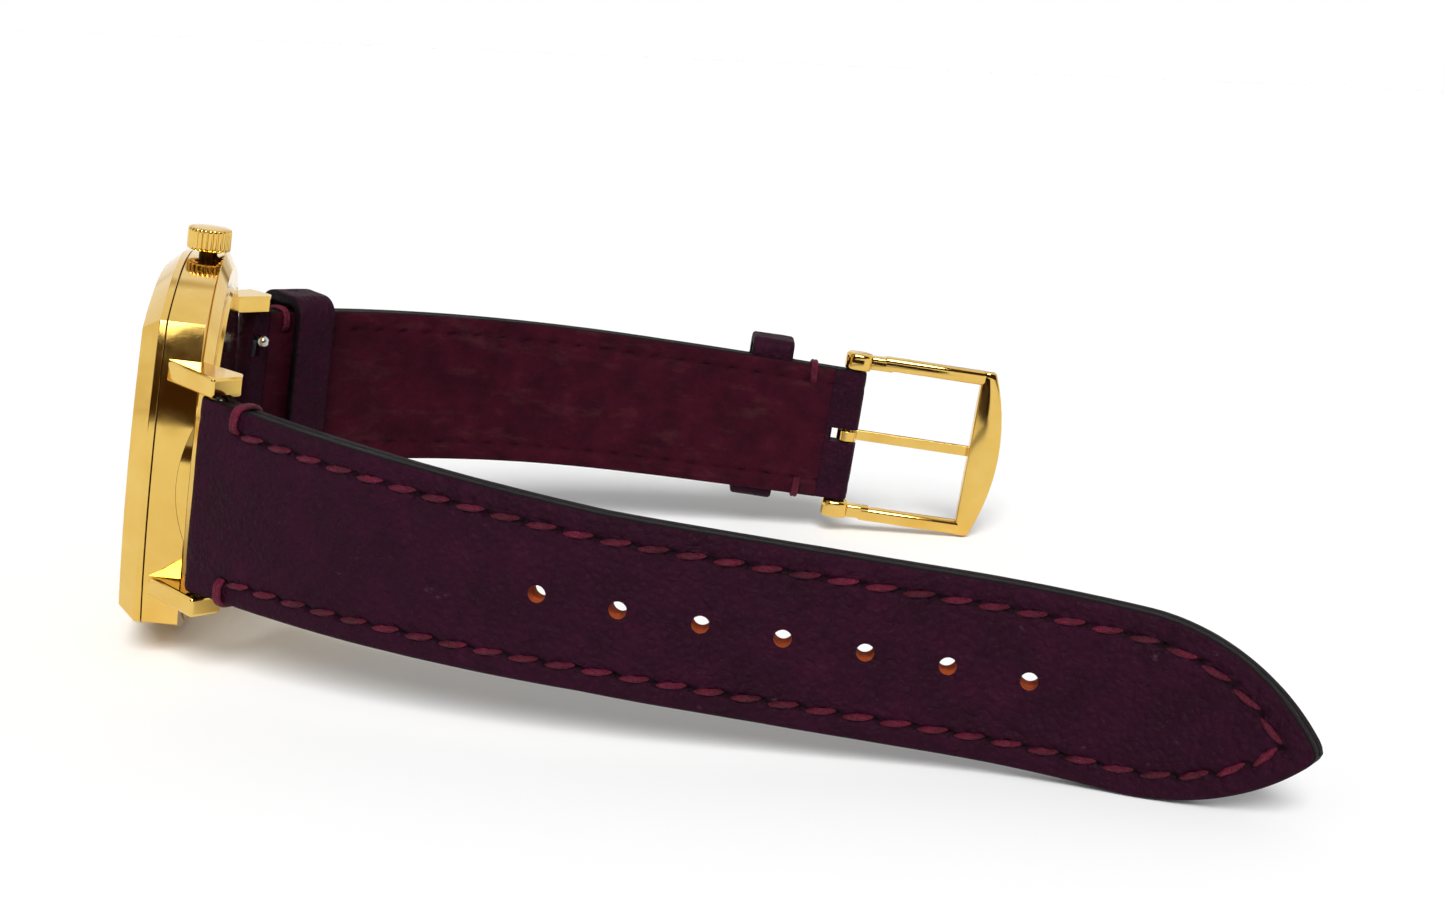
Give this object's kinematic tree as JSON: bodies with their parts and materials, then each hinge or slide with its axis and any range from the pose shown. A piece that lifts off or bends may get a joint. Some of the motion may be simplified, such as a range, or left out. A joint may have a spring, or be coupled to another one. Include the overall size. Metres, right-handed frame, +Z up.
{
  "type": "wristwatch",
  "caption": "Dress wristwatch with a cushion-shaped polished case, faceted bezel, fluted crown and an open two-piece leather strap with stitched edges, keepers and a pin buckle.",
  "frame": {"origin": "bottom centre of the bounding box of the watch lying on one side of its case with the strap halves spread", "axes": "+Z up, towards the crown; +X from the dial side to the wrist side, along the strap halves; +Y towards the short strap half at 12 o'clock"},
  "size_m": [0.0984, 0.1052, 0.039],
  "materials": {
    "gold_plate": "polished gold plate",
    "steel": "satin",
    "grain_leather": "fine grain, satin",
    "lining_leather": "smooth lining",
    "rubber": "matt",
    "crystal": "clear",
    "dial_metal": "satin",
    "brass": "satin",
    "plastic": "matt",
    "copper": "enamelled copper wire wound on a former",
    "board": "matt"
  },
  "bodies": {
    "case": {"case_middle": "gold_plate", "case_back": "gold_plate", "case_back_gasket": "rubber", "bezel": "gold_plate", "crystal_gasket": "rubber", "crystal": "crystal", "dial_flange": "dial_metal", "dial": "dial_metal", "hour_markers": "gold_plate", "main_plate": "brass", "train_bridge": "steel", "bridge_screws": "steel", "battery": "steel", "battery_insulator": "plastic", "coil": "copper", "circuit_board": "board", "circuit_chip": "plastic", "movement_holder": "plastic", "crown_tube": "steel"},
    "setting_pinion": {"setting_pinion": "steel"},
    "crown": {"crown": "gold_plate", "crown_gasket": "rubber", "crown_stem": "steel"},
    "minute_hand": {"minute_hand": "gold_plate", "cannon_pinion": "steel", "centre_wheel": "brass"},
    "hour_hand": {"hour_hand": "gold_plate", "hour_wheel": "brass"},
    "minute_wheel": {"minute_wheel": "brass"},
    "long_strap": {"long_strap_outer": "grain_leather", "long_strap_lining": "lining_leather", "long_bar_barrel": "steel", "long_bar_spring": "steel"},
    "long_release": {"long_bar_release_tip": "steel"},
    "short_strap": {"short_strap_outer": "grain_leather", "short_strap_lining": "lining_leather", "short_bar_barrel": "steel", "short_bar_spring": "steel", "fixed_keeper": "grain_leather", "buckle_bar": "gold_plate"},
    "short_release": {"short_bar_release_tip": "steel"},
    "free_keeper": {"free_keeper": "grain_leather"},
    "buckle": {"buckle_frame": "gold_plate"},
    "tongue": {"buckle_tongue": "gold_plate"}
  },
  "joints": [
    {"name": "crown_turn", "type": "hinge", "parent": "case", "child": "setting_pinion", "pos_m": [-0.04185, 0.00971, 0.03585], "axis": [0.1038, -0.0476, 0.9935], "continuous": true},
    {"name": "crown_pull", "type": "slide", "parent": "setting_pinion", "child": "crown", "axis": [0.1038, -0.0476, 0.9935], "range_m": [0, 0.001]},
    {"name": "minute_turn", "type": "hinge", "parent": "case", "child": "minute_hand", "pos_m": [-0.04531, 0.01055, 0.01854], "axis": [0.9946, 0, -0.1039], "continuous": true},
    {"name": "hour_turn", "type": "hinge", "parent": "case", "child": "hour_hand", "pos_m": [-0.04531, 0.01055, 0.01854], "axis": [0.9946, 0, -0.1039], "continuous": true},
    {"name": "minute_wheel_turn", "type": "hinge", "parent": "case", "child": "minute_wheel", "pos_m": [-0.0453, 0.01295, 0.01865], "axis": [0.9946, 0, -0.1039], "continuous": true},
    {"name": "long_strap_swing", "type": "hinge", "parent": "case", "child": "long_strap", "pos_m": [-0.04025, -0.01092, 0.01698], "axis": [0.1038, -0.0476, 0.9935], "range_deg": [-60, 30]},
    {"name": "long_release_slide", "type": "slide", "parent": "long_strap", "child": "long_release", "axis": [0.1038, -0.0476, 0.9935], "range_m": [0, 0.0015], "stiffness_N_per_m": 200, "deforming": ["long_bar_spring"]},
    {"name": "short_strap_swing", "type": "hinge", "parent": "case", "child": "short_strap", "pos_m": [-0.04004, 0.03203, 0.01901], "axis": [-0.1038, 0.0476, -0.9935], "range_deg": [-60, 20]},
    {"name": "short_release_slide", "type": "slide", "parent": "short_strap", "child": "short_release", "axis": [-0.1038, 0.0476, -0.9935], "range_m": [0, 0.0015], "stiffness_N_per_m": 200, "deforming": ["short_bar_spring"]},
    {"name": "free_keeper_travel", "type": "hinge", "parent": "short_strap", "child": "free_keeper", "pos_m": [-0.00062, -0.00748, 0.013], "axis": [-0.1038, 0.0476, -0.9935], "range_deg": [-1.3, 38]},
    {"name": "buckle_swing", "type": "hinge", "parent": "short_strap", "child": "buckle", "pos_m": [0.03063, 0.04485, 0.01225], "axis": [-0.1038, 0.0476, -0.9935], "range_deg": [-90, 90]},
    {"name": "tongue_swing", "type": "hinge", "parent": "buckle", "child": "tongue", "pos_m": [0.03063, 0.04485, 0.01225], "axis": [0.1038, -0.0476, 0.9935], "range_deg": [0, 100]}
  ],
  "couplings": [
    {"joint": "hour_turn", "follows": "minute_turn", "ratio": 0.083333},
    {"joint": "minute_wheel_turn", "follows": "minute_turn", "ratio": -0.33333}
  ]
}
